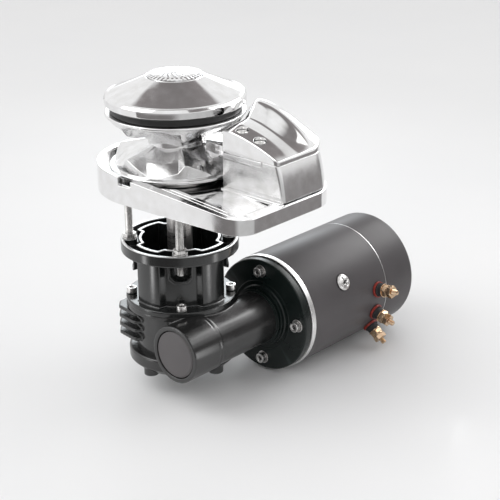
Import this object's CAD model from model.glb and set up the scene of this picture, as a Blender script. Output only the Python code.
"""Looks of the anchor windlass: fine meshes and procedural finishes round the CAD frame.

Lengths are in millimetres until a mesh is finished, and angles in degrees. Places come
from the boxes of the CAD nodes. The main shaft stands on the Z axis and the motor's
axis runs along Y.
"""
import math

import bmesh
import bpy
from mathutils import Matrix, Vector


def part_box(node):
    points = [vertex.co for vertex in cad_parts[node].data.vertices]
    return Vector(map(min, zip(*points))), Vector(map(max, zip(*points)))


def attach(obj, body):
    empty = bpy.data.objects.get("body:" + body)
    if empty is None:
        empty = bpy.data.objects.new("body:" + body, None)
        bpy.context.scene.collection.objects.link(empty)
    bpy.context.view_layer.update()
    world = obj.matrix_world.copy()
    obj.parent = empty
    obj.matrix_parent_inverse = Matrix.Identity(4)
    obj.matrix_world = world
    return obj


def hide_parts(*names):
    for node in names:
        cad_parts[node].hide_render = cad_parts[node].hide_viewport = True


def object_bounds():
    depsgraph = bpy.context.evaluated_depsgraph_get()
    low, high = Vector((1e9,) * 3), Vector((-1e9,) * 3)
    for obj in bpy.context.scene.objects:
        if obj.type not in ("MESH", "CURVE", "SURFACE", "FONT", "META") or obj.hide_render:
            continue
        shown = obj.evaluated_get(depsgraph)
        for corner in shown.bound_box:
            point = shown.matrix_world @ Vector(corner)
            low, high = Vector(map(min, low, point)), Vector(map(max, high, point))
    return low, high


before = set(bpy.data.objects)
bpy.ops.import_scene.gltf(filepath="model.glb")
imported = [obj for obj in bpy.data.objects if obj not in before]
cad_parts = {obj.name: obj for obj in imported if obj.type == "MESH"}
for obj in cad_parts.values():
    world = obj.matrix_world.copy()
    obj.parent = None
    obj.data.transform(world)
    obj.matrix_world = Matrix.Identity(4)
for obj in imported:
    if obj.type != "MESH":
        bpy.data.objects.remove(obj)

MM = 0.001
CAD_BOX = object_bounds()
FINE, ROUND, SMALL = 160, 96, 40      # sides of a round, by its size


def box(node):
    """Lowest and highest corner of a CAD node, in millimetres."""
    low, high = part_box(node)
    return low / MM, high / MM


# ---- places read from the frame ----
case_low, case_high = box("motor_case")
MOTOR_X = (case_low.x + case_high.x) / 2.0
MOTOR_Z = (case_low.z + case_high.z) / 2.0
MOTOR_R = (case_high.x - case_low.x) / 2.0
base_low, base_high = box("base_plate")
RIM_TOP = base_high.z
BASE_ROUND_R = -base_low.x
spacer_low, spacer_high = box("spacer_housing")
SPACER_TOP = spacer_high.z
stud_low, stud_high = box("deck_stud_1")
STUD_PITCH = (stud_low.x + stud_high.x) / 2.0
STUD_R = (stud_high.x - stud_low.x) / 2.0
gear_low, gear_high = box("gearbox_case")
cover_low, cover_high = box("housing_cover")
house_low, house_high = box("chain_pipe_housing")
cap_low, cap_high = box("clutch_cap")
wheel_low, wheel_high = box("gypsy")
PIN = (box("lever_pin")[0] + box("lever_pin")[1]) / 2.0


# ---------------------------------------------------------------- mesh helpers

def finish_mesh(bm, name, sharp=30.0):
    """Turns a bmesh in millimetres into a shaded object in metres."""
    bmesh.ops.remove_doubles(bm, verts=bm.verts, dist=1e-5)
    bmesh.ops.recalc_face_normals(bm, faces=bm.faces)
    bmesh.ops.scale(bm, vec=(MM, MM, MM), verts=bm.verts)
    mesh = bpy.data.meshes.new(name)
    bm.to_mesh(mesh)
    bm.free()
    mesh.shade_smooth()
    mesh.set_sharp_from_angle(angle=math.radians(sharp))
    obj = bpy.data.objects.new(name, mesh)
    bpy.context.scene.collection.objects.link(obj)
    return obj


def arc(radius, start, end, steps, centre=(0.0, 0.0)):
    """Points on an arc; a full circle leaves out its repeated last point."""
    count = steps if abs(end - start) >= 360.0 else steps + 1
    points = []
    for i in range(count):
        angle = math.radians(start + (end - start) * i / steps)
        points.append((centre[0] + radius * math.cos(angle),
                       centre[1] + radius * math.sin(angle)))
    return points


def rounded(points, radius, steps=4, closed=True):
    """A polyline with its corners rounded, each by no more than its sides allow."""
    out = []
    count = len(points)
    for i, here in enumerate(points):
        if not closed and i in (0, count - 1):
            out.append(here)
            continue
        corner = Vector(here)
        back = Vector(points[i - 1]) - corner
        on = Vector(points[(i + 1) % count]) - corner
        if back.length < 1e-6 or on.length < 1e-6:
            out.append(here)
            continue
        turn = back.angle(on)
        if turn > math.radians(176.0) or turn < math.radians(4.0):
            out.append(here)
            continue
        reach = min(radius / math.tan(turn / 2.0), 0.45 * back.length, 0.45 * on.length)
        a = corner + back.normalized() * reach
        b = corner + on.normalized() * reach
        for k in range(steps + 1):
            t = k / steps
            out.append(tuple((1 - t) ** 2 * a + 2 * t * (1 - t) * corner + t * t * b))
    return out


def lathe(name, profile, segments=FINE, edge=0.5, sharp=30.0):
    """A turned piece about Z from a closed (radius, z) profile with rounded corners."""
    loop = []
    count = len(profile)
    for i, here in enumerate(profile):
        near_axis = here[0] <= 0.0
        if near_axis:
            loop.append(here)
            continue
        trio = [profile[i - 1], here, profile[(i + 1) % count]]
        loop += rounded(trio, edge, closed=False)[1:-1]
    bm = bmesh.new()
    verts = [bm.verts.new((r, 0.0, z)) for r, z in loop]
    edges = []
    for a, b in zip(verts, verts[1:] + verts[:1]):
        if a.co.x > 0.0 or b.co.x > 0.0:
            edges.append(bm.edges.new((a, b)))
    bmesh.ops.spin(bm, geom=verts + edges, cent=(0, 0, 0), axis=(0, 0, 1),
                   angle=2.0 * math.pi, steps=segments, use_merge=True)
    return finish_mesh(bm, name, sharp)


def loft(name, rings, sharp=30.0):
    """A closed solid through rings of equal point counts, with flat ends."""
    bm = bmesh.new()
    loops = [[bm.verts.new(p) for p in ring] for ring in rings]
    count = len(loops[0])
    for low, high in zip(loops, loops[1:]):
        for i in range(count):
            j = (i + 1) % count
            bm.faces.new((low[i], low[j], high[j], high[i]))
    bm.faces.new(loops[0][::-1])
    bm.faces.new(loops[-1])
    return finish_mesh(bm, name, sharp)


def prism(name, outline, low, high):
    return loft(name, [[(x, y, z) for x, y in outline] for z in (low, high)])


def side_prism(name, outline, low_y, high_y):
    """An outline in the XZ plane, drawn out along Y."""
    return loft(name, [[(x, y, z) for x, z in outline] for y in (low_y, high_y)])


def block(name, low, high):
    x0, y0, z0 = low
    x1, y1, z1 = high
    return prism(name, [(x0, y0), (x1, y0), (x1, y1), (x0, y1)], z0, z1)


def cylinder(name, radius, low, high, centre=(0.0, 0.0), segments=ROUND):
    return prism(name, arc(radius, 0.0, 360.0, segments, centre), low, high)


def bake(obj):
    """Applies an object's modifiers to its mesh."""
    bpy.context.view_layer.update()
    graph = bpy.context.evaluated_depsgraph_get()
    mesh = bpy.data.meshes.new_from_object(obj.evaluated_get(graph))
    obj.modifiers.clear()
    obj.data = mesh
    return obj


def combine(target, tools, operation):
    for tool in tools:
        modifier = target.modifiers.new(operation, "BOOLEAN")
        modifier.operation = operation
        modifier.object = tool
        modifier.solver = "EXACT"
    bake(target)
    for tool in tools:
        bpy.data.objects.remove(tool)
    return target


def cut(target, *tools):
    return combine(target, tools, "DIFFERENCE")


def add(target, *tools):
    return combine(target, tools, "UNION")


def soften(obj, width, steps=3, angle=30.0):
    """Rounds every edge sharper than the angle."""
    bevel = obj.modifiers.new("bevel", "BEVEL")
    bevel.width = width * MM
    bevel.segments = steps
    bevel.limit_method = "ANGLE"
    bevel.angle_limit = math.radians(angle)
    bevel.use_clamp_overlap = False
    bevel.miter_outer = "MITER_ARC"
    bake(obj)
    obj.data.shade_smooth()
    obj.data.set_sharp_from_angle(angle=math.radians(50.0))
    weighted = obj.modifiers.new("weighted", "WEIGHTED_NORMAL")
    weighted.keep_sharp = True
    weighted.weight = 80
    return bake(obj)


def cast(obj, voxel, relax):
    """Turns a sharp solid into one with the soft fillets of a painted casting."""
    remesh = obj.modifiers.new("voxels", "REMESH")
    remesh.mode = "VOXEL"
    remesh.voxel_size = voxel * MM
    smooth = obj.modifiers.new("relax", "SMOOTH")
    smooth.factor = 0.5
    smooth.iterations = relax
    thin = obj.modifiers.new("thin", "DECIMATE")
    thin.ratio = 0.45
    bake(obj)
    obj.data.shade_smooth()
    return obj


def settle(obj):
    """Puts an object's own transform into its mesh."""
    bpy.context.view_layer.update()
    obj.data.transform(obj.matrix_world)
    obj.matrix_world = Matrix.Identity(4)
    return obj


def along_y(obj):
    """Turns a piece built along Z so that its axis is the motor's axis."""
    obj.rotation_euler = (-math.pi / 2.0, 0.0, 0.0)
    obj.location = Vector((MOTOR_X, 0.0, MOTOR_Z)) * MM
    return settle(obj)


def radial(obj, angle, y):
    """Stands a piece built along Z out from the motor's axis, angle from +X towards +Z."""
    obj.rotation_euler = (0.0, math.radians(90.0 - angle), 0.0)
    obj.location = Vector((MOTOR_X, y, MOTOR_Z)) * MM
    return settle(obj)


def moved(obj, x, y, z):
    obj.location = Vector((x, y, z)) * MM
    return settle(obj)


def diagonals():
    p = STUD_PITCH
    return [(p, -p), (-p, -p), (-p, p), (p, p)]


# ---------------------------------------------------------------- finishes

class Finish:
    """A material under construction, with short ways to add nodes and links."""

    def __init__(self, name, colour, metallic, roughness):
        self.material = bpy.data.materials.new(name)
        self.material.use_nodes = True
        self.nodes = self.material.node_tree.nodes
        self.links = self.material.node_tree.links
        self.shader = self.nodes["Principled BSDF"]
        self.shader.inputs["Base Color"].default_value = (*colour, 1.0)
        self.shader.inputs["Metallic"].default_value = metallic
        self.shader.inputs["Roughness"].default_value = roughness
        self.place = self.nodes.new("ShaderNodeTexCoord").outputs["Object"]

    def node(self, kind, **values):
        made = self.nodes.new(kind)
        for key, value in values.items():
            setattr(made, key, value)
        return made

    def feed(self, socket, source):
        if isinstance(source, bpy.types.NodeSocket):
            self.links.new(source, socket)
        else:
            socket.default_value = source

    def stretched(self, scale, turn=(0.0, 0.0, 0.0)):
        mapping = self.node("ShaderNodeMapping")
        mapping.inputs["Scale"].default_value = scale
        mapping.inputs["Rotation"].default_value = turn
        self.links.new(self.place, mapping.inputs["Vector"])
        return mapping.outputs["Vector"]

    def noise(self, scale, detail=4.0, place=None, distortion=0.0):
        noise = self.node("ShaderNodeTexNoise")
        self.feed(noise.inputs["Vector"], place or self.place)
        noise.inputs["Scale"].default_value = scale
        noise.inputs["Detail"].default_value = detail
        noise.inputs["Distortion"].default_value = distortion
        return noise.outputs["Fac"]

    def spread(self, source, low, high, from_low=0.3, from_high=0.7):
        ranged = self.node("ShaderNodeMapRange")
        self.feed(ranged.inputs["Value"], source)
        ranged.inputs["From Min"].default_value = from_low
        ranged.inputs["From Max"].default_value = from_high
        ranged.inputs["To Min"].default_value = low
        ranged.inputs["To Max"].default_value = high
        return ranged.outputs["Result"]

    def maths(self, operation, a, b=0.0):
        made = self.node("ShaderNodeMath", operation=operation)
        self.feed(made.inputs[0], a)
        self.feed(made.inputs[1], b)
        return made.outputs["Value"]

    def mix(self, factor, a, b):
        made = self.node("ShaderNodeMix", data_type="RGBA")
        self.feed(made.inputs["Factor"], factor)
        self.feed(made.inputs["A"], a if isinstance(a, bpy.types.NodeSocket) else (*a, 1.0))
        self.feed(made.inputs["B"], b if isinstance(b, bpy.types.NodeSocket) else (*b, 1.0))
        return made.outputs["Result"]

    def blend(self, factor, a, b):
        made = self.node("ShaderNodeMix", data_type="FLOAT")
        self.feed(made.inputs["Factor"], factor)
        self.feed(made.inputs["A"], a)
        self.feed(made.inputs["B"], b)
        return made.outputs["Result"]

    def bump(self, height, strength, depth):
        """Adds a relief, depth in millimetres, on top of any there already."""
        made = self.node("ShaderNodeBump")
        made.inputs["Strength"].default_value = strength
        made.inputs["Distance"].default_value = depth * MM
        self.feed(made.inputs["Height"], height)
        normal = self.shader.inputs["Normal"]
        if normal.links:
            self.links.new(normal.links[0].from_socket, made.inputs["Normal"])
        self.links.new(made.outputs["Normal"], normal)

    def set(self, **sockets):
        for name, source in sockets.items():
            self.feed(self.shader.inputs[name.replace("_", " ")], source)


def make_chrome(name, shine):
    f = Finish(name, (0.80, 0.80, 0.81), 1.0, shine)
    waves = f.noise(22.0, 2.0)
    haze = f.noise(90.0, 5.0)
    hairs = f.noise(600.0, 3.0, f.stretched((1.0, 0.16, 1.0), (0.0, 0.0, 0.5)))
    f.set(Base_Color=f.mix(f.spread(haze, 0.0, 1.0), (0.76, 0.755, 0.75), (0.85, 0.85, 0.855)),
          Roughness=f.spread(haze, shine - 0.03, shine + 0.05))
    f.bump(waves, 0.16, 0.22)
    f.bump(hairs, 0.05, 0.02)
    return f.material


def make_stainless():
    f = Finish("stainless_finish", (0.62, 0.61, 0.60), 1.0, 0.25)
    haze = f.noise(260.0, 4.0)
    marks = f.noise(1500.0, 2.0, f.stretched((1.0, 1.0, 0.12)))
    hollow = f.node("ShaderNodeAmbientOcclusion", samples=8)
    hollow.inputs["Distance"].default_value = 4.0 * MM
    metal = f.mix(f.spread(haze, 0.0, 1.0), (0.62, 0.61, 0.595), (0.82, 0.81, 0.80))
    f.set(Base_Color=f.mix(f.spread(hollow.outputs["AO"], 0.0, 1.0, 0.25, 0.75), (0.05, 0.05, 0.05), metal),
          Roughness=f.spread(marks, 0.20, 0.36))
    f.bump(marks, 0.18, 0.03)
    return f.material


def make_machined():
    f = Finish("machined_steel_finish", (0.62, 0.60, 0.60), 1.0, 0.30)
    rings = f.noise(900.0, 3.0, f.stretched((0.04, 0.04, 1.0)))
    stain = f.noise(70.0, 4.0)
    f.set(Base_Color=f.mix(f.spread(stain, 0.0, 1.0), (0.60, 0.58, 0.57), (0.82, 0.80, 0.79)),
          Roughness=f.spread(rings, 0.24, 0.42))
    f.bump(rings, 0.25, 0.04)
    return f.material


def make_enamel(name, colour, shine, bare_above=None, specular=0.42):
    """Gloss paint on a casting: orange peel, a thin dust of wear on its edges, and a
    machined face above a height where one is given."""
    f = Finish(name, colour, 0.0, shine)
    peel = f.noise(420.0, 2.0)
    grit = f.noise(1800.0, 2.0)
    cloud = f.noise(34.0, 4.0)
    edges = f.node("ShaderNodeNewGeometry").outputs["Pointiness"]
    worn = f.maths("MULTIPLY", f.spread(edges, 0.0, 1.0, 0.53, 0.62), f.spread(cloud, 0.1, 0.8))
    deep = tuple(0.6 * c for c in colour)
    pale = tuple(2.6 * c + 0.012 for c in colour)
    paint = f.mix(worn, f.mix(f.spread(cloud, 0.0, 1.0), deep, colour), pale)
    rough = f.spread(cloud, shine - 0.05, shine + 0.07)
    if bare_above is not None:
        height = f.node("ShaderNodeSeparateXYZ")
        f.links.new(f.place, height.inputs["Vector"])
        bare = f.spread(height.outputs["Z"], 0.0, 1.0, (bare_above - 0.25) * MM,
                        (bare_above + 0.15) * MM)
        rings = f.noise(1400.0, 2.0)
        paint = f.mix(bare, paint, f.mix(rings, (0.50, 0.50, 0.50), (0.80, 0.80, 0.80)))
        rough = f.blend(bare, rough, f.spread(rings, 0.22, 0.42))
        f.set(Metallic=f.maths("MULTIPLY", bare, 0.95))
    f.set(Base_Color=paint, Roughness=rough)
    f.shader.inputs["Specular IOR Level"].default_value = specular
    f.bump(peel, 0.12, 0.05)
    f.bump(grit, 0.05, 0.02)
    return f.material


def make_satin(name, colour, shine):
    """Sprayed satin paint, with a fine grain and faint cloudy gloss."""
    f = Finish(name, colour, 0.0, shine)
    grain = f.noise(2600.0, 2.0)
    cloud = f.noise(26.0, 5.0)
    light = tuple(1.06 * c for c in colour)
    f.set(Base_Color=f.mix(f.spread(cloud, 0.0, 1.0), tuple(0.94 * c for c in colour), light),
          Roughness=f.spread(cloud, shine - 0.02, shine + 0.02))
    f.shader.inputs["Specular IOR Level"].default_value = 0.16
    f.bump(grain, 0.12, 0.03)
    return f.material


def make_aluminium():
    f = Finish("turned_aluminium_finish", (0.80, 0.795, 0.79), 1.0, 0.35)
    rings = f.noise(1300.0, 3.0, f.stretched((0.03, 1.0, 0.03)))
    haze = f.noise(60.0, 3.0)
    f.set(Base_Color=f.mix(f.spread(haze, 0.0, 1.0), (0.72, 0.715, 0.71), (0.90, 0.895, 0.89)),
          Roughness=f.spread(rings, 0.26, 0.44))
    f.bump(rings, 0.25, 0.03)
    return f.material


def make_brassy(name, dark, light, tint, shine):
    """Yellow metal with darker tarnish and a warmer bloom in patches."""
    f = Finish(name, light, 1.0, shine)
    patches = f.noise(210.0, 4.0, distortion=0.6)
    bloom = f.noise(95.0, 3.0)
    turned = f.noise(1500.0, 2.0)
    base = f.mix(f.spread(patches, 0.0, 1.0), dark, light)
    f.set(Base_Color=f.mix(f.spread(bloom, 0.0, 0.8), base, tint),
          Roughness=f.spread(patches, shine + 0.08, shine - 0.04))
    f.bump(turned, 0.06, 0.02)
    return f.material


def make_dull(name, dark, light, shine, scale, relief):
    """Rubber, fibre, iron or matt paint: mottled, with a fine relief."""
    f = Finish(name, light, 0.0, shine)
    mottle = f.noise(scale, 5.0)
    grain = f.noise(scale * 9.0, 2.0)
    f.set(Base_Color=f.mix(f.spread(mottle, 0.0, 1.0), dark, light),
          Roughness=f.spread(mottle, shine - 0.08, shine + 0.08))
    f.bump(grain, 0.25, relief)
    return f.material


CHROME = make_chrome("polished_chrome_finish", 0.07)
SATIN_CHROME = make_chrome("satin_chrome_finish", 0.19)
STAINLESS = make_stainless()
MACHINED = make_machined()
ENAMEL = make_enamel("black_enamel_finish", (0.014, 0.014, 0.014), 0.20, specular=0.8)
SPACER_ENAMEL = make_enamel("spacer_enamel_finish", (0.010, 0.011, 0.011), 0.18, SPACER_TOP - 0.45,
                            0.8)
FLANGE_ENAMEL = make_enamel("flange_enamel_finish", (0.005, 0.010, 0.009), 0.28)
CHARCOAL = make_satin("satin_charcoal_finish", (0.088, 0.082, 0.085), 0.36)
END_DISC = make_satin("satin_disc_finish", (0.105, 0.099, 0.101), 0.42)
CLUTCH = make_dull("clutch_ring_finish", (0.006, 0.006, 0.006), (0.014, 0.014, 0.014), 0.42,
                   180.0, 0.03)
ALUMINIUM = make_aluminium()
BRONZE = make_brassy("wheel_bronze_finish", (0.34, 0.19, 0.08), (0.60, 0.37, 0.16),
                     (0.50, 0.24, 0.12), 0.32)
BRASS = make_brassy("terminal_brass_finish", (0.44, 0.31, 0.19), (0.80, 0.64, 0.44),
                    (0.68, 0.46, 0.31), 0.18)
COPPER = make_brassy("commutator_copper_finish", (0.42, 0.18, 0.10), (0.76, 0.40, 0.24),
                     (0.50, 0.28, 0.16), 0.28)
RED = make_dull("red_fibre_finish", (0.16, 0.012, 0.008), (0.36, 0.035, 0.022), 0.46, 300.0, 0.04)
RUBBER = make_dull("seal_rubber_finish", (0.010, 0.010, 0.010), (0.026, 0.026, 0.027), 0.70,
                   240.0, 0.05)
IRON = make_dull("core_iron_finish", (0.06, 0.04, 0.03), (0.15, 0.11, 0.09), 0.55, 130.0, 0.08)


def place_piece(obj, body, finish, slot, *nodes):
    """Gives a piece its finish, body and slot, and lets it stand for CAD nodes."""
    obj.data.materials.clear()
    obj.data.materials.append(finish)
    for polygon in obj.data.polygons:
        polygon.material_index = 0
    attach(obj, body)
    if nodes:
        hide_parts(*nodes)
    return obj


# ---------------------------------------------------------------- screws and studs

def socket_screw(name, head_r, head_h, shank_r, length):
    """A socket head cap screw with a knurled head, its seat at z 0."""
    screw = lathe(name, [(0.0, -length), (shank_r, -length), (shank_r, 0.0), (head_r, 0.0),
                         (head_r, head_h), (0.0, head_h)], SMALL, 0.55)
    rim = head_r * 0.62
    tools = [cylinder(name + "_hex", head_r * 0.54, head_h * 0.4, head_h + 1.0, segments=6),
             lathe(name + "_sink", [(0.0, head_h - 0.5), (rim - 0.9, head_h - 0.5),
                                    (rim, head_h + 0.2), (rim, head_h + 1.0), (0.0, head_h + 1.0)],
                   SMALL, 0.05)]
    return cut(screw, *tools)


def threaded_rod(name, radius, low, high, pitch, depth):
    """A rod with a helical thread, chamfered at both ends."""
    sides, per_pitch = 28, 5
    rows = int((high - low) / pitch * per_pitch)
    bm = bmesh.new()
    loops = []
    for row in range(rows + 1):
        z = low + (high - low) * row / rows
        loop = []
        for side in range(sides):
            phase = (z / pitch - side / sides) % 1.0
            tooth = abs(2.0 * phase - 1.0)
            end = min(1.0, (min(z - low, high - z) + 0.15) / 1.1)
            r = (radius - depth * min(1.0, max(0.0, tooth * 1.5 - 0.25))) * (0.80 + 0.20 * end)
            turn = 2.0 * math.pi * side / sides
            loop.append(bm.verts.new((r * math.cos(turn), r * math.sin(turn), z)))
        loops.append(loop)
    for a, b in zip(loops, loops[1:]):
        for i in range(sides):
            j = (i + 1) % sides
            bm.faces.new((a[i], a[j], b[j], b[i]))
    bm.faces.new(loops[0][::-1])
    bm.faces.new(loops[-1])
    return finish_mesh(bm, name, 60.0)


def hex_nut(name, corner_r, bore_r, low, high, chamfer=0.9):
    """A nut with turned chamfers on both faces and a bevelled bore."""
    nut = prism(name, arc(corner_r, 0.0, 360.0, 6), low, high)
    flat_r = corner_r * math.cos(math.radians(30.0))
    wide = corner_r + 3.0
    drop = (wide - flat_r) * 0.5
    lower = lathe(name + "_under", [(flat_r, low - 1.0), (wide, low - 1.0), (wide, low + drop),
                                    (flat_r, low)], SMALL, 0.01)
    upper = lathe(name + "_over", [(flat_r, high), (wide, high - drop), (wide, high + 1.0),
                                   (flat_r, high + 1.0)], SMALL, 0.01)
    bore = cylinder(name + "_bore", bore_r, low - 2.0, high + 2.0, segments=SMALL)
    cut(nut, lower, upper, bore)
    return soften(nut, 0.16, 2, 25.0)


def washer(name, inner, outer, low, high):
    return lathe(name, [(inner, low), (outer, low), (outer, high), (inner, high)], SMALL, 0.25)


# ---------------------------------------------------------------- base plate and housing

def rim_height(x):
    break_x, end_x, end_top = -20.0, base_high.x, 14.6
    if x < break_x:
        return RIM_TOP
    return RIM_TOP - (RIM_TOP - end_top) * (x - break_x) / (end_x - break_x)


def base_outline():
    near_r, far_r = 22.0, 42.0
    points = arc(near_r, -90.0, 0.0, 22, (base_high.x - near_r, -73.5 + near_r))
    points += arc(far_r, 0.0, 90.0, 32, (base_high.x - far_r, 73.0 - far_r))
    return points + arc(BASE_ROUND_R, 79.0, 272.0, 110)


def slope_cutter(name, x0, x1, y0, y1, drop):
    """Everything above the rim's slope, lowered by drop, between the given limits."""
    xs = [x0] + [x for x in (-20.0,) if x0 < x < x1] + [x1]
    outline = [(x, rim_height(x) - drop) for x in xs] + [(x1, 45.0), (x0, 45.0)]
    return side_prism(name, outline, y0, y1)


def make_base_plate():
    floor_z = 15.5
    plate = prism("base_plate_casting", base_outline(), 0.0, RIM_TOP + 6.0)
    inner = rounded([(2.0, -67.5), (138.0, -67.5), (138.0, 66.0), (2.0, 66.0)], 12.0, 8)
    ledge = prism("ledge_outline", inner, -5.0, 60.0)
    shelf = slope_cutter("ledge_slope", -60.0, 180.0, -120.0, 120.0, 3.2)
    ledge = combine(ledge, [shelf], "INTERSECT")
    floor = prism("floor_recess", rounded([(0.0, -52.0), (146.0, -52.0), (146.0, 65.0), (0.0, 65.0)],
                                          6.0, 6), floor_z, 60.0)
    well = cylinder("well", BASE_ROUND_R - 5.7, floor_z - 0.5, 60.0, segments=FINE)
    notch = block("rim_notch", (-1.0, -90.0, 18.5), (15.0, -66.0, 60.0))
    tools = [slope_cutter("rim_slope", -100.0, 180.0, -120.0, 120.0, 0.0), ledge, well, floor, notch,
             cylinder("shaft_bore", 16.0, -5.0, 40.0), cylinder("pipe", 24.0, -5.0, 40.0, (106.0, 27.0))]
    tools += [cylinder("stud_hole", STUD_R + 0.3, -5.0, 11.0, place, SMALL) for place in diagonals()]
    tools += [slope_cutter("rim_groove", 18.0, 128.0, -67.6, -66.0, 5.4),
              slope_cutter("ledge_line", 24.0, 126.0, -62.6, -61.6, 4.4),
              slope_cutter("inner_line", 30.0, 120.0, -57.6, -56.8, 4.2)]
    cut(plate, *tools)
    step = block("housing_step", (HOUSE_STEP_X, NEAR_Y - 5.6, 14.0), (HOUSE_FOOT_X, NEAR_Y - 0.2, 16.9))
    add(plate, step)
    soften(plate, 0.5, 3)
    place_piece(plate, "chassis", CHROME, "polished_chrome", "base_plate")


HOUSE_ARC_R = 72.5
HOUSE_STEP_X = 74.0
HOUSE_CORNER_R = 22.0
HOUSE_FOOT_X = house_high.x
HOUSE_SPLIT_X = cover_high.x
SPLIT_Z = cover_low.z
NEAR_Y, FAR_Y = cover_low.y, cover_high.y


def house_outline(end_x, inset=0.0):
    near, far = NEAR_Y + inset, FAR_Y - inset
    end, corner = end_x - inset, HOUSE_CORNER_R - inset
    left_r = HOUSE_ARC_R + inset
    points = arc(4.0, -90.0, 0.0, 8, (end - 4.0, near + 4.0))
    points += arc(corner, 0.0, 90.0, 18, (end - corner, far - corner))
    start, stop = [math.degrees(math.asin(y / left_r)) for y in (far, near)]
    return points + arc(left_r, start, stop, 44)


def lever_slot(name):
    outline = [(44.0, -9.0), (82.0, -9.0), (82.0, 30.0), (86.0, 57.0), (40.0, 59.5), (30.0, 50.0)]
    return prism(name, outline, PIN_LEVER_Z - 8.6, PIN_LEVER_Z + 3.6)


PIN_LEVER_Z = (box("pressure_lever")[0].z + box("pressure_lever")[1].z) / 2.0


def make_housing():
    foot = house_low.z
    top = house_high.z
    steps = 6
    outer, inner = [], []
    for k in range(steps + 1):
        t = k / steps
        z = foot + (top - foot) * t
        end = HOUSE_FOOT_X + (HOUSE_SPLIT_X - HOUSE_FOOT_X) * (0.45 * t + 0.55 * t * t)
        outer.append([(x, y, z) for x, y in house_outline(end)])
        low_z = foot - 3.0 + (top - foot + 6.0) * t
        inner.append([(x, y, low_z) for x, y in house_outline(end, 5.0)])
    housing = loft("chain_pipe_housing_casting", outer, 40.0)
    cavity = loft("housing_cavity", inner)
    cut(cavity, cylinder("pillar", 7.5, 0.0, 43.0, (PIN.x, PIN.y), SMALL))
    cut(housing, cavity)
    add(housing, prism("pillar_foot", [(74.0, 50.0), (86.0, 50.0), (86.0, 60.0), (74.0, 60.0)],
                       20.0, 40.0))
    mouth = block("mouth", (50.0, -4.0, 22.0), (80.0, 40.0, 60.0))
    joint = [block("lip_line", (60.0, NEAR_Y - 1.0, 44.2), (121.0, NEAR_Y + 0.45, 44.8)),
             block("lip_end", (120.5, NEAR_Y - 1.0, 44.2), (121.2, NEAR_Y + 0.45, 60.0))]
    cut(housing, mouth, lever_slot("slot"),
        cylinder("pin_hole", 3.3, 24.0, 60.0, (PIN.x, PIN.y), SMALL), *joint)
    soften(housing, 0.45, 3)
    place_piece(housing, "chassis", SATIN_CHROME, "polished_chrome", "chain_pipe_housing")


CROWN = ((-11.0, 72.2), (4.0, 76.8), (6.0, 77.1), (19.8, 77.9), (24.0, 80.5),
         (30.0, 84.1), (36.0, 87.5), (38.5, 88.7), (41.0, 89.2), (45.5, 89.2), (50.0, 88.0),
         (54.0, 85.2), (57.0, 82.0), (60.0, 76.5), (62.0, 70.0))


def crown(y):
    """Height of the cover along its back: a flat strip, a crease and a hump."""
    for (y0, z0), (y1, z1) in zip(CROWN, CROWN[1:]):
        if y <= y1:
            return z0 + (z1 - z0) * (y - y0) / (y1 - y0)
    return CROWN[-1][1]


def cover_height(x, y):
    fall_from, power, flare = 67.0, 1.8, 10.5
    smooth = sum(crown(y + d) for d in (-0.9, -0.3, 0.3, 0.9)) / 4.0
    reach = max(0.0, min(1.0, (x - fall_from) / (HOUSE_SPLIT_X - fall_from)))
    top = smooth - (smooth - SPLIT_Z - 4.0) * reach ** power
    inward = min(1.0, max(0.0, (HOUSE_ARC_R + flare - math.hypot(x, y)) / flare))
    return top - max(0.0, top - 72.0) * (1.0 - math.sqrt(1.0 - inward * inward))


def cover_solid(name, inset, bottom, columns, rows, edge):
    """The cover as heights over its plan, closed to a flat bottom, its rim rounded."""
    near, far = NEAR_Y + inset, FAR_Y - inset
    end, corner = HOUSE_SPLIT_X - inset, HOUSE_CORNER_R - inset
    small = 4.0
    bm = bmesh.new()
    top, low = [], []
    for row in range(rows + 1):
        s = row / rows
        y = near + (far - near) * (0.5 - 0.5 * math.cos(math.pi * s)) * 0.35 + (far - near) * s * 0.65
        left = math.sqrt((HOUSE_ARC_R + inset) ** 2 - y * y)
        over = max(0.0, y - (far - corner))
        under_y = max(0.0, near + small - y)
        right = end - corner + math.sqrt(max(0.0, corner * corner - over * over))
        right -= small - math.sqrt(max(0.0, small * small - under_y * under_y))
        line, under = [], []
        for column in range(columns + 1):
            c = column / columns
            c = 0.35 * (0.5 - 0.5 * math.cos(math.pi * c)) + 0.65 * c
            x = left + (right - left) * c
            gap = min(x - left, right - x, y - near, far - y)
            drop = 0.0
            if gap < edge:
                drop = edge - math.sqrt(max(0.0, edge * edge - (edge - gap) ** 2))
            line.append(bm.verts.new((x, y, cover_height(x, y) - inset - drop)))
            under.append(bm.verts.new((x, y, bottom)))
        top.append(line)
        low.append(under)
    for r in range(rows):
        for c in range(columns):
            bm.faces.new((top[r][c], top[r][c + 1], top[r + 1][c + 1], top[r + 1][c]))
            bm.faces.new((low[r][c], low[r + 1][c], low[r + 1][c + 1], low[r][c + 1]))
    for c in range(columns):
        bm.faces.new((low[0][c], low[0][c + 1], top[0][c + 1], top[0][c]))
        bm.faces.new((low[-1][c + 1], low[-1][c], top[-1][c], top[-1][c + 1]))
    for r in range(rows):
        bm.faces.new((low[r + 1][0], low[r][0], top[r][0], top[r + 1][0]))
        bm.faces.new((low[r][-1], low[r + 1][-1], top[r + 1][-1], top[r][-1]))
    return finish_mesh(bm, name, 40.0)


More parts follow.
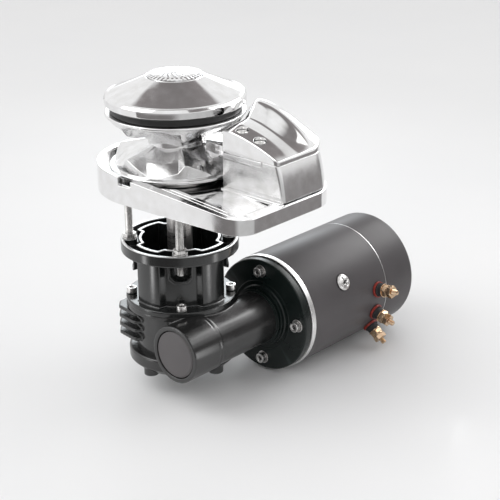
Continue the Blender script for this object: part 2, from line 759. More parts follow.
def make_cover():
    screws = [(box(f"cover_screw_{k}")[0] + box(f"cover_screw_{k}")[1]) / 2.0 for k in (1, 2)]
    seats_z = [cover_height(s.x, s.y) - 6.9 for s in screws]
    cover = cover_solid("housing_cover_casting", 0.0, SPLIT_Z, 72, 84, 1.4)
    cavity = cover_solid("cover_cavity", 5.0, SPLIT_Z - 4.0, 16, 20, 0.1)
    cut(cavity, cylinder("pillar", 7.5, 57.5, 100.0, (PIN.x, PIN.y), SMALL))
    cut(cover, cavity, lever_slot("slot"),
        cylinder("pin_hole", 3.3, 40.0, 64.0, (PIN.x, PIN.y), SMALL))
    add(cover, *[cylinder("boss", 7.0, SPLIT_Z + 4.0, z, (s.x, s.y), SMALL)
                 for s, z in zip(screws, seats_z)])
    seats = [lathe("seat", [(0.0, z), (5.9, z), (5.9, 90.0), (0.0, 90.0)], SMALL, 0.4)
             for z in seats_z]
    for seat, s in zip(seats, screws):
        moved(seat, s.x, s.y, 0.0)
    holes = [cylinder("hole", 3.4, 30.0, 90.0, (s.x, s.y), SMALL) for s in screws]
    cut(cover, *seats, *holes)
    soften(cover, 0.35, 2, 40.0)
    place_piece(cover, "chassis", CHROME, "polished_chrome", "housing_cover")
    for k, (s, z) in enumerate(zip(screws, seats_z)):
        screw = moved(socket_screw(f"cover_socket_screw_{k + 1}", 5.2, 5.6, 3.0, 14.0), s.x, s.y,
                      z + 0.3)
        place_piece(screw, "chassis", STAINLESS, "stainless_steel", f"cover_screw_{k + 1}")


def make_stripper():
    outline = rounded([(39.5, -3.5), (60.0, -8.2), (80.0, -8.2), (80.0, 1.0), (62.0, 1.0)], 1.5, 4)
    stripper = prism("chain_stripper_finger", outline, PIN_LEVER_Z - 7.6, PIN_LEVER_Z + 2.6)
    soften(stripper, 0.7, 3)
    place_piece(stripper, "chassis", CHROME, "stainless_steel", "chain_stripper")


def make_lever():
    ear, nose_x, nose_y = 6.5, 38.0, 38.5
    outline = [(PIN.x - 3.0, PIN.y - ear), (nose_x + 12.0, nose_y - 2.0), (nose_x + 3.0, nose_y - 3.5),
               (nose_x - 1.0, nose_y), (nose_x + 1.0, nose_y + 4.5), (PIN.x - 8.0, PIN.y + 4.0)]
    outline = rounded(outline, 1.5, 3, closed=False)
    outline += arc(ear, 110.0, -70.0, 24, (PIN.x, PIN.y))
    lever = prism("pressure_lever_finger", outline, PIN_LEVER_Z - 2.2, PIN_LEVER_Z + 2.2)
    cut(lever, cylinder("eye", 3.3, 30.0, 70.0, (PIN.x, PIN.y), SMALL))
    soften(lever, 0.4, 2)
    place_piece(lever, "chain_lever", STAINLESS, "stainless_steel", "pressure_lever")
    pin_low, pin_high = box("lever_pin")
    pin = lathe("lever_pivot_pin", [(0.0, pin_low.z), (3.0, pin_low.z), (3.0, pin_high.z),
                                    (0.0, pin_high.z)], SMALL, 0.5)
    moved(pin, PIN.x, PIN.y, 0.0)
    place_piece(pin, "chassis", STAINLESS, "stainless_steel", "lever_pin")


# ---------------------------------------------------------------- chainwheel and clutch

WHEEL_POCKETS = 6
WHELP_TURN = -37.0                 # angle of one whelp's crest, from +X
CREST_HALF = 1.3
# Each row: radius, height of a whelp's crest, height of the pocket floor, and how many degrees
# from the crest the whelp's gentle and steep sides reach the floor.
LOWER_ROWS = ((60.5, 37.5, 25.6, 24.0, 7.0), (50.0, 40.0, 36.2, 16.0, 6.5),
              (44.0, 41.6, 38.4, 11.0, 6.5), (36.0, 43.6, 41.0, 9.0, 7.0),
              (28.0, 45.6, 44.0, 9.0, 8.0))
UPPER_ROWS = ((28.0, 46.8, 50.0, 9.0, 8.0), (38.0, 55.9, 59.3, 9.0, 7.0),
              (50.0, 57.0, 64.8, 16.0, 6.5), (58.0, 60.5, 68.5, 22.0, 7.0),
              (66.0, 70.0, 72.2, 24.0, 7.0))


def crossing(rows, radius):
    """Height at a radius along rows of (radius, height), carried on straight past its ends."""
    pairs = list(zip(rows, rows[1:]))
    for (r0, z0), (r1, z1) in pairs:
        if min(r0, r1) <= radius <= max(r0, r1):
            break
    else:
        (r0, z0), (r1, z1) = min(pairs, key=lambda pair: abs(pair[0][0] - radius))
    return z0 + (z1 - z0) * (radius - r0) / (r1 - r0)


def wheel_column(place):
    """The chainwheel's section at a place from 0 to 4 across one pitch.

    0 and 1 are the two edges of a whelp's crest, 2 the foot of its gentle side, 3 the
    middle of the flat pocket floor, and 4 the foot of the next whelp's steep side.
    """
    pitch = 360.0 / WHEEL_POCKETS
    faces = []
    for rows in (LOWER_ROWS, UPPER_ROWS):
        floor = [(r, bottom) for r, crest, bottom, gentle, steep in rows]
        face = []
        for r, crest, bottom, gentle, steep in rows:
            edge = math.degrees(math.asin(CREST_HALF / r))
            angle = (-edge, edge, gentle, (gentle + pitch - steep) / 2.0, pitch - steep)[place]
            flat_r = r * math.cos(math.radians(angle - pitch / 2.0))
            face.append((r, crest if place < 2 else crossing(floor, flat_r), angle))
        faces.append(face)
    lower, upper = faces
    under = [(r, z, lower[0][2]) for r, z in ((34.5, 37.4), (40.5, 21.0), (66.4, 21.0), (67.0, 21.6),
                                              (66.8, 23.6), (65.6, 24.3), (61.4, 24.4))]
    over = [(r, z, upper[-1][2]) for r, z in ((67.6, 73.0), (68.7, 74.2), (69.0, 75.0), (69.0, 76.0),
                                              (68.2, 76.8), (44.8, 76.8), (38.6, 62.0))]
    angle = lower[0][2]
    return [(13.1, 37.4, angle)] + under + lower + upper + over + [(13.1, 62.0, angle)]


def make_gypsy():
    """Columns of the section, with two more between each pair so that the rims stay round."""
    columns = []
    for k in range(WHEEL_POCKETS):
        for place in range(5):
            column = wheel_column(place)
            columns.append([(r, z, angle + 360.0 / WHEEL_POCKETS * k) for r, z, angle in column])
    bm = bmesh.new()
    loops = []
    for here, after in zip(columns, columns[1:] + columns[:1]):
        for t in (0.0, 1.0 / 3.0, 2.0 / 3.0):
            loop = []
            for (r0, z0, a0), (r1, z1, a1) in zip(here, after):
                turn = math.radians(WHELP_TURN + a0 + ((a1 - a0) % 360.0) * t)
                z = z0 + (z1 - z0) * t
                loop.append(bm.verts.new((r0 * math.cos(turn), r0 * math.sin(turn), z)))
            loops.append(loop)
    for a, b in zip(loops, loops[1:] + loops[:1]):
        for i in range(len(a)):
            j = (i + 1) % len(a)
            bm.faces.new((a[i], b[i], b[j], a[j]))
    wheel = finish_mesh(bm, "chainwheel_casting", 25.0)
    soften(wheel, 0.5, 2, 20.0)
    place_piece(wheel, "chainwheel", SATIN_CHROME, "polished_chrome", "gypsy")


def make_cones():
    lower = lathe("lower_cone_turned", [(12.9, 17.0), (41.5, 17.0), (41.5, 20.4), (39.0, 20.7),
                                        (33.0, 36.8), (12.9, 36.8)])
    cut(lower, block("slot", (8.7, -3.15, 20.0), (16.3, 3.15, 37.5)))
    place_piece(lower, "drive_shaft", MACHINED, "machined_steel", "lower_clutch_cone")
    upper = lathe("upper_cone_ring", [(12.9, 62.4), (37.0, 62.4), (43.4, 77.1), (64.2, 77.1),
                                      (64.2, 83.0), (12.9, 83.0)], FINE, 0.8)
    place_piece(upper, "upper_cone", CLUTCH, "dark_clutch_ring", "upper_clutch_cone")


def bar_socket(name, angle, half_width, half_height, inner, outer, flare):
    """An oval tool for a clutch bar's socket, widening to its mouth."""
    rings = []
    for r, grow in ((inner, 0.0), (outer - 5.0, 0.0), (outer - 3.0, 0.2 * flare), (outer + 3.0, flare)):
        side, high = half_width - half_height, half_height + grow
        oval = arc(high, -90.0, 90.0, 12, (side, 0.0)) + arc(high, 90.0, 270.0, 12, (-side, 0.0))
        rings.append([(r, x, y) for x, y in oval])
    tool = loft(name, rings)
    tool.rotation_euler = (0.0, 0.0, math.radians(angle))
    tool.location = (0.0, 0.0, 88.4 * MM)
    return settle(tool)


def make_cap():
    profile = [(12.9, cap_low.z), (66.4, cap_low.z), (69.0, 85.4), (68.8, 91.4), (67.0, 93.9),
               (64.0, 94.6), (30.0, 109.3), (28.6, cap_high.z), (27.4, cap_high.z), (27.4, 106.6),
               (12.9, 106.6)]
    cap = lathe("clutch_cap_casting", profile, 192, 0.9)
    cut(cap, *[bar_socket("bar", -9.0 + 120.0 * k, 5.8, 3.2, 52.0, 69.0, 0.9) for k in range(3)])
    cap.data.shade_smooth()
    cap.data.set_sharp_from_angle(angle=math.radians(38.0))
    place_piece(cap, "cap", CHROME, "polished_chrome", "clutch_cap")


def make_boss():
    """The cap's centre: a domed disc with a fluted edge and rings of small pyramids."""
    low, high = [z.z for z in box("cap_drive_boss")]
    radius = box("cap_drive_boss")[1].x
    rows, sides = 54, 216
    bm = bmesh.new()
    loops = []
    for row in range(rows + 1):
        r = radius * row / rows
        loop = []
        for side in range(sides):
            turn = 2.0 * math.pi * side / sides
            z = high - 0.7 - 2.6 * (r / radius) ** 2.6
            if r > 0.80 * radius:
                z -= 0.5 * (0.5 + 0.5 * math.cos(36.0 * turn)) * min(1.0, (r / radius - 0.80) / 0.06)
            elif 0.30 * radius < r < 0.76 * radius:
                z += 0.45 * max(0.0, math.cos(18.0 * turn + 6.0 * math.pi * r / radius)
                                * math.cos(math.pi * r / 2.4))
            elif 0.18 * radius < r < 0.26 * radius:
                z += 0.35
            loop.append(bm.verts.new((r * math.cos(turn), r * math.sin(turn), z)))
        loops.append(loop)
    loops.append([bm.verts.new((v.co.x, v.co.y, low)) for v in loops[-1]])
    for a, b in zip(loops, loops[1:]):
        for i in range(sides):
            j = (i + 1) % sides
            bm.faces.new((a[i], b[i], b[j], a[j]))
    bm.faces.new(loops[-1][::-1])
    boss = finish_mesh(bm, "cap_boss_textured", 40.0)
    place_piece(boss, "cap", CHROME, "polished_chrome", "cap_drive_boss")


# ---------------------------------------------------------------- shaft, studs, spacer

def make_shaft():
    low, high = [z.z for z in box("main_shaft")]
    shaft = lathe("main_shaft_turned", [(0.0, low), (12.0, low), (12.0, -163.6), (12.5, -163.6),
                                        (12.5, 83.6), (12.0, 84.2), (12.0, high - 1.0),
                                        (11.0, high), (0.0, high)], ROUND, 0.4)
    cut(shaft, block("cone_slot", (8.7, -3.15, 20.0), (16.3, 3.15, 36.0)),
        block("wheel_slot", (8.7, -3.15, -158.0), (16.3, 3.15, -140.0)))
    place_piece(shaft, "drive_shaft", MACHINED, "machined_steel", "main_shaft")


def make_studs():
    nut_low, nut_high = box("stud_nut_1")
    for k, (x, y) in enumerate(diagonals()):
        rod = moved(threaded_rod(f"deck_stud_thread_{k + 1}", STUD_R, stud_low.z, stud_high.z, 1.25,
                                 0.62), x, y, 0.0)
        place_piece(rod, "chassis", STAINLESS, "stainless_steel", f"deck_stud_{k + 1}")
        nut = moved(hex_nut(f"stud_hex_nut_{k + 1}", 7.2, STUD_R + 0.15, nut_low.z + 1.2, nut_high.z),
                    x, y, 0.0)
        place_piece(nut, "chassis", STAINLESS, "stainless_steel", f"stud_nut_{k + 1}")
        ring = moved(washer(f"stud_washer_{k + 1}", STUD_R + 0.3, 7.5, nut_low.z, nut_low.z + 1.1),
                     x, y, 0.0)
        place_piece(ring, "chassis", STAINLESS, "stainless_steel")


def lobed_outline(lobe_r, web_r, lobe_half=18.5, web_half=23.5):
    points = []
    for k in range(4):
        mid = 90.0 * k
        points += arc(lobe_r, mid - lobe_half, mid + lobe_half, 14)
        points += arc(web_r, mid + web_half, mid + 90.0 - web_half, 14)
    return points


def niche(name, x, y):
    """A round-bottomed hollow under the flange, where a stud's end stands."""
    radius, top, depth_z = 10.6, SPACER_TOP - 11.0, SPACER_TOP - 30.0
    profile = [(0.0, depth_z), (radius - 4.0, depth_z + 0.6), (radius, depth_z + 5.0), (radius, top),
               (0.0, top)]
    return moved(lathe(name, profile, SMALL, 1.5), x, y, 0.0)


def make_spacer():
    top, bottom, foot_z = SPACER_TOP, spacer_low.z, spacer_low.z + 6.0
    flange_r, foot_r, lobe_r, web_r = spacer_high.x, 56.0, 48.0, 41.5
    spacer = prism("spacer_casting", lobed_outline(lobe_r, web_r), bottom + 1.0, top - 1.0)
    add(spacer, lathe("flange", [(20.0, top - 11.3), (flange_r, top - 11.3), (flange_r, top),
                                 (20.0, top)], FINE, 1.0),
        lathe("foot", [(20.0, bottom), (foot_r, bottom), (foot_r, foot_z), (20.0, foot_z)], FINE, 0.8))
    walls = []
    for x, y in diagonals():
        wall = moved(lathe("niche_wall", [(0.0, top - 33.0), (8.0, top - 33.0), (13.2, top - 28.0),
                                          (13.2, top - 10.0), (0.0, top - 10.0)], SMALL, 2.0), x, y, 0.0)
        rim = cylinder("rim", 48.6, top - 40.0, top, segments=FINE)
        walls.append(combine(wall, [rim], "INTERSECT"))
    add(spacer, *walls)
    pocket = cylinder("pocket", flange_r - 3.6, top - 7.0, top + 3.0, segments=FINE)
    core = [prism("core", lobed_outline(lobe_r, web_r - 0.4), top - 9.0, top + 5.0)]
    core += [cylinder("boss", 7.6, top - 9.0, top + 5.0, place, SMALL) for place in diagonals()]
    cut(pocket, *core)
    hollow = prism("hollow", lobed_outline(lobe_r - 3.2, web_r - 3.2, 16.5, 21.5), bottom - 2.0,
                   top + 2.0)
    tools = [hollow, pocket]
    for x, y in diagonals():
        tools.append(cylinder("stud_hole", STUD_R + 0.3, top - 20.0, top + 5.0, (x, y), SMALL))
        tools.append(niche("niche", x, y))
    cut(spacer, *tools)
    cast(spacer, 0.68, 1)
    place_piece(spacer, "chassis", SPACER_ENAMEL, "black_enamel", "spacer_housing")
    for k, (x, y) in enumerate(diagonals()):
        seat = box(f"spacer_screw_{k + 1}")[1].z - 6.0
        screw = moved(socket_screw(f"spacer_socket_screw_{k + 1}", 5.2, 6.0, 3.0, 17.0), x, y, seat)
        place_piece(screw, "chassis", STAINLESS, "stainless_steel", f"spacer_screw_{k + 1}")


# ---------------------------------------------------------------- gearbox

def tube(name, radius, y0, y1, segments=ROUND):
    return along_y(cylinder(name, radius, y0, y1, segments=segments))


def make_gearbox():
    top, bottom = gear_high.z, gear_low.z
    case_r, foot_r, fin_r, fin_root_r = 47.0, 56.0, 64.0, 42.0
    collar_r, tube_r = 29.2, 27.4
    front, back = gear_low.y, gear_high.y
    case = cylinder("gearbox_casting", case_r, bottom, top - 1.0)
    parts = [lathe("flange", [(20.0, top - 5.5), (foot_r, top - 5.5), (foot_r, top), (20.0, top)],
                   FINE, 0.8),
             block("shoulder", (4.0, -41.0, bottom + 0.7), (36.0, 41.0, top - 3.0)),
             tube("collar", collar_r, front, -26.4), tube("body_tube", tube_r, -30.0, back),
             tube("seam_collar", collar_r - 0.1, -25.4, -21.0)]
    for k in range(4):
        z = -129.0 - 9.2 * k
        tip = [(r * toward(a).x, r * toward(a).y) for r, a in
               ((fin_root_r, -166.0), (54.0, -160.0), (fin_r, -142.0), (fin_r, -132.0),
                (54.0, -108.0), (fin_root_r, -102.0))]
        parts.append(prism("fin", rounded(tip, 3.0, 4) + arc(20.0, -102.0, -166.0, 4), z - 1.8, z + 1.8))
    add(case, *parts)
    tools = [cylinder("chamber", 43.0, bottom - 1.0, -139.0),
             cylinder("bearing_seat", 23.8, -145.0, -126.0), cylinder("bore", 16.0, -145.0, -110.0),
             tube("worm_bore", 16.4, front - 5.0, back + 5.0), tube("plug", 24.6, front - 5.0, front + 6.0)]
    cut(case, *tools)
    cast(case, 0.72, 3)
    place_piece(case, "chassis", ENAMEL, "black_enamel", "gearbox_case")

    disc_low, disc_high = box("worm_end_cap")
    disc_r = (disc_high.x - disc_low.x) / 2.0
    disc = lathe("worm_end_disc", [(0.0, disc_low.y + 0.2), (disc_r - 1.6, disc_low.y + 0.2),
                                   (disc_r - 1.2, disc_low.y + 0.7), (disc_r, disc_low.y + 0.7),
                                   (disc_r, disc_high.y), (0.0, disc_high.y)], FINE, 0.5)
    place_piece(along_y(disc), "chassis", END_DISC, "satin_charcoal_paint", "worm_end_cap")


def make_bottom_cover():
    low, high = box("gearbox_bottom_cover")
    under = low.z + 4.0
    cover_r, foot_ring_r = 55.0, 46.0
    cover = lathe("bottom_cover_casting", [(0.0, under), (cover_r - 6.5, under),
                                           (cover_r, under + 6.0), (cover_r, high.z - 1.5),
                                           (cover_r - 1.2, high.z), (0.0, high.z)], FINE, 2.0)
    feet = [cylinder("foot", 7.5, low.z, under + 12.0, place, SMALL)
            for place in arc(foot_ring_r, 0.0, 360.0, 4)]
    add(cover, *feet)
    cut(cover, cylinder("seat", 21.3, -184.0, -160.0), tube("worm_room", 29.5, -66.0, 80.0))
    cast(cover, 0.8, 3)
    place_piece(cover, "chassis", ENAMEL, "black_enamel", "gearbox_bottom_cover")


# ---------------------------------------------------------------- motor

def make_motor_flange():
    low, high = box("motor_flange")
    rim_r, tube_r, start, back = (high.x - low.x) / 2.0, 27.4, low.y, high.y
    face = back - 8.6
    profile = [(16.4, start), (tube_r - 0.2, start), (tube_r, start + 0.3), (tube_r, 58.2),
               (tube_r + 2.2, 58.4), (tube_r + 2.2, 60.0), (tube_r + 0.9, 60.4), (tube_r + 0.9, 61.0),
               (tube_r + 4.2, 61.3), (tube_r + 4.2, face - 1.2), (tube_r + 5.2, face), (36.0, face),
               (36.4, face - 0.3), (37.0, face - 0.3), (37.4, face), (rim_r - 0.9, face),
               (rim_r, face + 0.9), (rim_r, back), (16.4, back)]
    flange = along_y(lathe("motor_flange_casting", profile, 192, 0.35))
    tools = []
    places = []
    for k in range(4):
        screw_low, screw_high = box(f"flange_screw_{k + 1}")
        x, z = (screw_low.x + screw_high.x) / 2.0, (screw_low.z + screw_high.z) / 2.0
        places.append((x, z))
        tools.append(along_y(cylinder("spot_face", 7.0, face - 2.0, face + 0.35,
                                      (x - MOTOR_X, MOTOR_Z - z), SMALL)))
        tools.append(along_y(cylinder("hole", 3.3, face - 2.0, back + 3.0,
                                      (x - MOTOR_X, MOTOR_Z - z), SMALL)))
    cut(flange, *tools)
    flange.data.shade_smooth()
    flange.data.set_sharp_from_angle(angle=math.radians(35.0))
    place_piece(flange, "chassis", FLANGE_ENAMEL, "black_enamel", "motor_flange")
    for k, (x, z) in enumerate(places):
        screw = socket_screw(f"flange_socket_screw_{k + 1}", 5.2, 5.6, 3.0, 14.0)
        screw.rotation_euler = (math.pi / 2.0, 0.0, 0.0)
        screw.location = Vector((x, face - 0.1, z)) * MM
        place_piece(settle(screw), "chassis", STAINLESS, "stainless_steel", f"flange_screw_{k + 1}")
        seat = washer(f"flange_screw_seat_{k + 1}", 5.4, 6.8, 0.0, 0.6)
        seat.rotation_euler = (math.pi / 2.0, 0.0, 0.0)
        seat.location = Vector((x, face + 0.3, z)) * MM
        place_piece(settle(seat), "chassis", MACHINED, "machined_steel")


def make_motor_shell():
    ring_low, ring_high = box("motor_front_ring")
    ring = lathe("motor_front_ring_turned", [(20.0, ring_low.y), (MOTOR_R, ring_low.y),
                                             (MOTOR_R, ring_high.y), (20.0, ring_high.y)], 192, 0.5)
    ring = along_y(ring)
    holes = []
    for k in range(4):
        low, high = box(f"flange_screw_{k + 1}")
        x, z = (low.x + high.x) / 2.0, (low.z + high.z) / 2.0
        holes.append(along_y(cylinder("hole", 3.3, 60.0, 95.0, (x - MOTOR_X, MOTOR_Z - z), SMALL)))
    cut(ring, *holes)
    ring.data.set_sharp_from_angle(angle=math.radians(40.0))
    place_piece(ring, "chassis", ALUMINIUM, "turned_aluminium", "motor_front_ring")

    front, seam, inner = case_low.y, case_high.y - 0.5, 56.5
    band = lathe("motor_seam_ring", [(inner, seam + 0.1), (MOTOR_R - 0.1, seam + 0.1),
                                     (MOTOR_R - 0.1, seam + 0.7), (inner, seam + 0.7)], 192, 0.05)
    place_piece(along_y(band), "chassis", ALUMINIUM, "turned_aluminium")
    case = along_y(lathe("motor_case_tube", [(inner, front), (MOTOR_R, front), (MOTOR_R, seam),
                                             (inner, seam)], 192, 0.35))
    tools = []
    for angle, y in POLE_SCREWS:
        sink = lathe("sink", [(0.0, 50.0), (4.3, 50.0), (4.3, 60.2), (9.9, 60.2), (9.9, 70.0),
                              (0.0, 70.0)], SMALL, 0.2)
        tools.append(radial(sink, angle, y))
    for angle, y in TERMINALS:
        tools.append(radial(cylinder("hole", 4.8, 50.0, 70.0, segments=SMALL), angle, y))
    cut(case, *tools)
    case.data.shade_smooth()
    case.data.set_sharp_from_angle(angle=math.radians(40.0))
    place_piece(case, "chassis", CHARCOAL, "satin_charcoal_paint", "motor_case")

    low, high = box("motor_end_cap")
    back = high.y
    profile = [(inner, low.y), (MOTOR_R - 0.25, low.y), (MOTOR_R, low.y + 0.5), (MOTOR_R, back - 4.0),
               (MOTOR_R - 0.9, back - 1.5), (MOTOR_R - 4.0, back), (26.0, back), (25.0, back - 1.2),
               (14.0, back - 1.2), (13.0, back), (0.0, back), (0.0, back - 5.0), (inner, back - 5.0)]
    place_piece(along_y(lathe("motor_end_cap_pressed", profile, 192, 0.8)), "chassis", CHARCOAL,
                "satin_charcoal_paint", "motor_end_cap")


POLE_SCREWS = ((28.8, 132.5), (208.8, 132.5))
TERMINALS = ((7.0, 182.0), (-17.0, 181.0), (-38.0, 186.0))


def make_pole_screws():
    for k, (angle, y) in enumerate(POLE_SCREWS):
        name = f"pole_cross_screw_{k + 1}"
        screw = lathe(name, [(0.0, 44.0), (4.0, 44.0), (4.0, 60.5), (8.7, 60.5), (8.7, 62.0),
                             (7.2, 63.6), (4.0, 64.6), (0.0, 64.9)], SMALL * 2, 0.5)
        tools = []
        for turn in (0.0, 90.0):
            bar = loft("bar", [[(-3.0, -0.9, 60.9), (3.0, -0.9, 60.9), (3.0, 0.9, 60.9), (-3.0, 0.9, 60.9)],
                               [(-5.4, -1.3, 66.0), (5.4, -1.3, 66.0), (5.4, 1.3, 66.0),
                                (-5.4, 1.3, 66.0)]])
            bar.rotation_euler = (0.0, 0.0, math.radians(turn + 20.0))
            tools.append(settle(bar))
        cut(screw, *tools)
        place_piece(radial(screw, angle, y), "chassis", STAINLESS, "stainless_steel",
                    f"pole_screw_{k + 1}")


def make_terminals():
    for k, (angle, y) in enumerate(TERMINALS):
        flange = lathe(f"terminal_flange_{k + 1}", [(3.2, 51.0), (4.5, 51.0), (4.5, 61.6), (8.6, 61.6),
                                                    (8.6, 63.9), (3.2, 63.9)], SMALL, 0.5)
        sleeve = lathe(f"terminal_sleeve_{k + 1}", [(3.2, 64.0), (7.4, 64.0), (7.4, 65.4), (6.4, 65.9),
                                                    (6.4, 69.9), (3.2, 69.9)], SMALL, 0.4)
        place_piece(radial(flange, angle, y), "chassis", RED, "red_insulator",
                    f"terminal_insulator_{k + 1}")
        place_piece(radial(sleeve, angle, y), "chassis", RUBBER, "seal_rubber")
        rod = threaded_rod(f"terminal_thread_{k + 1}", 2.95, 52.0, 87.6, 1.0, 0.5)
        place_piece(radial(rod, angle, y), "chassis", BRASS, "terminal_brass", f"terminal_stud_{k + 1}")
        stack = [washer(f"terminal_washer_{k + 1}", 3.1, 7.3, 70.1, 71.1),
                 hex_nut(f"terminal_nut_inner_{k + 1}", 7.2, 3.1, 71.3, 75.6),
                 washer(f"terminal_lock_washer_{k + 1}", 3.1, 6.4, 75.8, 77.0),
                 hex_nut(f"terminal_nut_outer_{k + 1}", 7.0, 3.1, 77.2, 82.0)]
        for turn, piece in zip((0.0, 12.0, 0.0, 37.0), stack):
            piece.rotation_euler = (0.0, 0.0, math.radians(turn + 17.0 * k))
            settle(piece)
            place_piece(radial(piece, angle, y), "chassis", BRASS, "terminal_brass")


# ---------------------------------------------------------------- carried-over CAD nodes

CARRIED = {
    "lever_spring": STAINLESS, "cone_key": MACHINED, "wheel_key": MACHINED, "deck_seal": RUBBER,
    "upper_shaft_bearing": MACHINED, "lower_shaft_bearing": MACHINED,
    "worm_front_bearing": MACHINED, "worm_rear_bearing": MACHINED, "worm_wheel": BRONZE,
    "worm_shaft": MACHINED, "armature": IRON, "commutator": COPPER, "field_pole_1": IRON,
    "field_pole_2": IRON,
}


def finish_carried_nodes():
    for name, finish in CARRIED.items():
        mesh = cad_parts[name].data
        mesh.materials.clear()
        mesh.materials.append(finish)


# ---------------------------------------------------------------- studio

def toward(azimuth, elevation=0.0):
    """Unit vector at an azimuth from +X towards +Y and an elevation above the floor."""
    a, e = math.radians(azimuth), math.radians(elevation)
    return Vector((math.cos(a) * math.cos(e), math.sin(a) * math.cos(e), math.sin(e)))


def ramp_of(nodes, source, links, stops):
    ramp = nodes.new("ShaderNodeValToRGB")
    links.new(source, ramp.inputs["Fac"])
    elements = ramp.color_ramp.elements
    elements.remove(elements[0])
    for k, (at, colour) in enumerate(stops):
        stop = elements[0] if k == 0 else elements.new(at)
        stop.position = at
        stop.color = (*colour, 1.0)
    return ramp.outputs["Color"]


def grey(level, warmth=0.0):
    return (level * (1.0 + warmth), level, level)


def make_world():
    """Soft white surroundings with a dark band high up on the far side of the object."""
    world = bpy.data.worlds.new("studio")
    bpy.context.scene.world = world
    world.use_nodes = True
    nodes, links = world.node_tree.nodes, world.node_tree.links
    place = nodes.new("ShaderNodeTexCoord").outputs["Generated"]
    split = nodes.new("ShaderNodeSeparateXYZ")
    links.new(place, split.inputs["Vector"])
    bands = ramp_of(nodes, split.outputs["Z"], links,
                    ((0.0, grey(0.95)), (0.30, grey(1.0)), (0.69, grey(1.0)), (0.73, grey(0.27, 0.08)),
                     (0.93, grey(0.22, 0.06)), (0.965, grey(1.0)), (1.0, grey(1.15))))
    ahead = nodes.new("ShaderNodeVectorMath")
    ahead.operation = "DOT_PRODUCT"
    links.new(place, ahead.inputs[0])
    ahead.inputs[1].default_value = toward(DARK_LEFT_EDGE - 90.0)
    side = nodes.new("ShaderNodeMapRange")
    links.new(ahead.outputs["Value"], side.inputs["Value"])
    side.inputs["From Min"].default_value = -0.004
    side.inputs["From Max"].default_value = 0.008
    blend = nodes.new("ShaderNodeMix")
    blend.data_type = "RGBA"
    links.new(side.outputs["Result"], blend.inputs["Factor"])
    blend.inputs["A"].default_value = (1.0, 1.0, 1.0, 1.0)
    links.new(bands, blend.inputs["B"])
    background = nodes["Background"]
    links.new(blend.outputs["Result"], background.inputs["Color"])
    background.inputs["Strength"].default_value = 1.0


DARK_LEFT_EDGE = 162.0                         # azimuth where the dark band starts sharply


def reflection_card(name, corners, bottom, top, stops, strength=1.0, fade_part=0.35):
    """A standing strip that only reflections see: its colour runs along its length, and it
    fades out over the top part of its height."""
    bm = bmesh.new()
    lengths = [0.0]
    for a, b in zip(corners, corners[1:]):
        lengths.append(lengths[-1] + math.dist(a, b))
    low = [bm.verts.new((x, y, bottom)) for x, y in corners]
    high = [bm.verts.new((x, y, top)) for x, y in corners]
    shade = bm.loops.layers.uv.new("along")
    for i in range(len(corners) - 1):
        face = bm.faces.new((low[i], low[i + 1], high[i + 1], high[i]))
        for loop, k in zip(face.loops, (i, i + 1, i + 1, i)):
            loop[shade].uv = (lengths[k] / lengths[-1], 0.0 if loop.vert in low else 1.0)
    mesh = bpy.data.meshes.new(name)
    bm.to_mesh(mesh)
    bm.free()
    card = bpy.data.objects.new(name, mesh)
    bpy.context.scene.collection.objects.link(card)
    material = bpy.data.materials.new(name + "_glow")
    material.use_nodes = True
    nodes, links = material.node_tree.nodes, material.node_tree.links
    nodes.remove(nodes["Principled BSDF"])
    glow = nodes.new("ShaderNodeEmission")
    glow.inputs["Strength"].default_value = strength
    split = nodes.new("ShaderNodeSeparateXYZ")
    links.new(nodes.new("ShaderNodeTexCoord").outputs["UV"], split.inputs["Vector"])
    links.new(ramp_of(nodes, split.outputs["X"], links, stops), glow.inputs["Color"])
    fade = nodes.new("ShaderNodeMapRange")
    fade.interpolation_type = "SMOOTHSTEP"
    links.new(split.outputs["Y"], fade.inputs["Value"])
    fade.inputs["From Min"].default_value = 1.0 - fade_part
    fade.inputs["From Max"].default_value = 1.0
    blend = nodes.new("ShaderNodeMixShader")
    links.new(fade.outputs["Result"], blend.inputs["Fac"])
    links.new(glow.outputs["Emission"], blend.inputs[1])
    links.new(nodes.new("ShaderNodeBsdfTransparent").outputs["BSDF"], blend.inputs[2])
    links.new(blend.outputs["Shader"], nodes["Material Output"].inputs["Surface"])
    mesh.materials.append(material)
    card.visible_camera = False
    card.visible_diffuse = False
    card.visible_shadow = False
    card.visible_transmission = False
    card.visible_volume_scatter = False


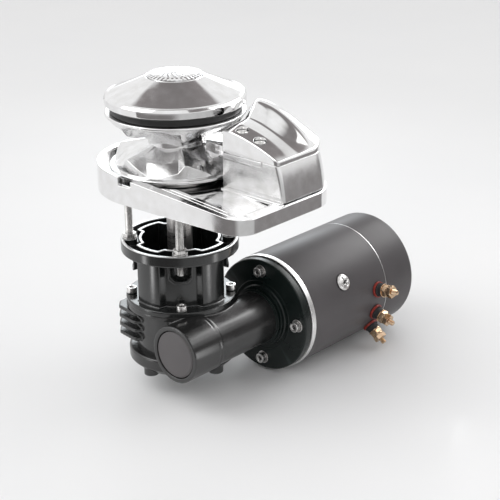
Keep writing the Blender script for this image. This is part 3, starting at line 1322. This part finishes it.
def make_cards():
    """Darker surroundings on the camera's side and the right, and two soft bright strips."""
    floor_z = CAD_BOX[0].z + 0.001
    path = [tuple(toward(a).xy * r) for a, r in
            ((-103.0, 0.31), (-90.0, 0.30), (-75.0, 0.30), (-60.0, 0.31), (-40.0, 0.33),
             (-20.0, 0.38), (0.0, 0.45), (20.0, 0.52), (40.0, 0.60), (62.0, 0.66))]
    reflection_card("dark_surroundings", path, floor_z, 0.075,
                    ((0.0, grey(0.20, 0.05)), (0.22, grey(0.22, 0.05)), (0.28, grey(0.60)),
                     (0.56, grey(0.55)), (0.63, grey(0.27, 0.04)), (1.0, grey(0.25, 0.05))), 1.0, 0.14)
    path = [tuple(toward(a).xy * 0.80) for a in (10.0, 20.0, 30.0, 40.0, 50.0, 60.0, 70.0)]
    reflection_card("dark_far_right", path, floor_z, 0.06,
                    ((0.0, grey(0.45)), (0.3, grey(0.24)), (1.0, grey(0.20))))
    for name, middle, strength in (("front_strip", -112.0, 5.0), ("right_strip", 20.0, 4.0)):
        path = [tuple(toward(middle + a).xy * 0.29) for a in (-6.0, 0.0, 6.0)]
        reflection_card(name, path, floor_z, -0.105,
                        ((0.0, grey(0.1)), (0.35, grey(1.0)), (0.65, grey(1.0)), (1.0, grey(0.1))),
                        strength)
    path = [tuple(toward(a).xy * 1.2) for a in (50.0, 60.0, 70.0, 80.0, 90.0, 100.0, 108.0)]
    reflection_card("back_softbox", path, 0.42, 0.98,
                    ((0.0, grey(0.0)), (0.25, grey(0.8)), (0.5, grey(1.0)), (0.8, grey(0.8)),
                     (1.0, grey(0.1))), 9.0, 0.12)
    path = [tuple(toward(a).xy * 1.2) for a in (116.0, 124.0, 132.0, 140.0, 148.0)]
    reflection_card("left_softbox", path, 0.10, 0.62,
                    ((0.0, grey(0.2)), (0.3, (0.92, 0.97, 1.0)), (0.7, (0.92, 0.97, 1.0)),
                     (1.0, grey(0.2))), 5.0)


def area_light(name, location, target, size, power):
    light = bpy.data.lights.new(name, "AREA")
    light.shape = "RECTANGLE"
    light.size, light.size_y = size
    light.energy = power
    lamp = bpy.data.objects.new(name, light)
    lamp.location = location
    lamp.rotation_euler = (Vector(target) - Vector(location)).to_track_quat("-Z", "Y").to_euler()
    bpy.context.scene.collection.objects.link(lamp)
    return lamp


def make_floor():
    f = Finish("pale_floor_finish", (0.78, 0.78, 0.785), 0.0, 0.6)
    cloud = f.noise(3.0, 3.0)
    f.set(Base_Color=f.mix(f.spread(cloud, 0.0, 1.0), (0.775, 0.777, 0.782), (0.795, 0.795, 0.797)))
    half = 6.0
    bm = bmesh.new()
    bmesh.ops.create_grid(bm, x_segments=12, y_segments=12, size=half / MM)
    floor = finish_mesh(bm, "studio_floor")
    floor.location.z = CAD_BOX[0].z - 0.0005
    floor.data.materials.append(f.material)


BACK = Vector((0.6280, -0.6854, 0.3686))       # from the object towards the camera


def make_camera():
    camera = bpy.data.cameras.new("camera")
    camera.lens = 102.8
    camera.sensor_width = 36.0
    holder = bpy.data.objects.new("camera", camera)
    right = Vector((0.7404, 0.6721, -0.0118))
    up = Vector((-0.2396, 0.2804, 0.9295))
    turn = Matrix((right, up, BACK)).transposed().to_4x4()
    holder.matrix_world = Matrix.Translation((0.9522, -0.9356, 0.4573)) @ turn
    bpy.context.scene.collection.objects.link(holder)
    bpy.context.scene.camera = holder


def build():
    make_base_plate()
    make_housing()
    make_cover()
    make_stripper()
    make_lever()
    make_gypsy()
    make_cones()
    make_cap()
    make_boss()
    make_shaft()
    make_studs()
    make_spacer()
    make_gearbox()
    make_bottom_cover()
    make_motor_flange()
    make_motor_shell()
    make_pole_screws()
    make_terminals()
    finish_carried_nodes()
    make_world()
    make_cards()
    make_floor()
    make_camera()
    area_light("key", (-0.9, -1.3, 1.6), (0.05, 0.05, -0.05), (1.6, 1.3), 16.0)
    area_light("fill", (1.2, 1.3, 1.7), (0.05, 0.1, -0.1), (1.4, 1.4), 9.0)
    bpy.context.scene.view_settings.view_transform = "Standard"


build()
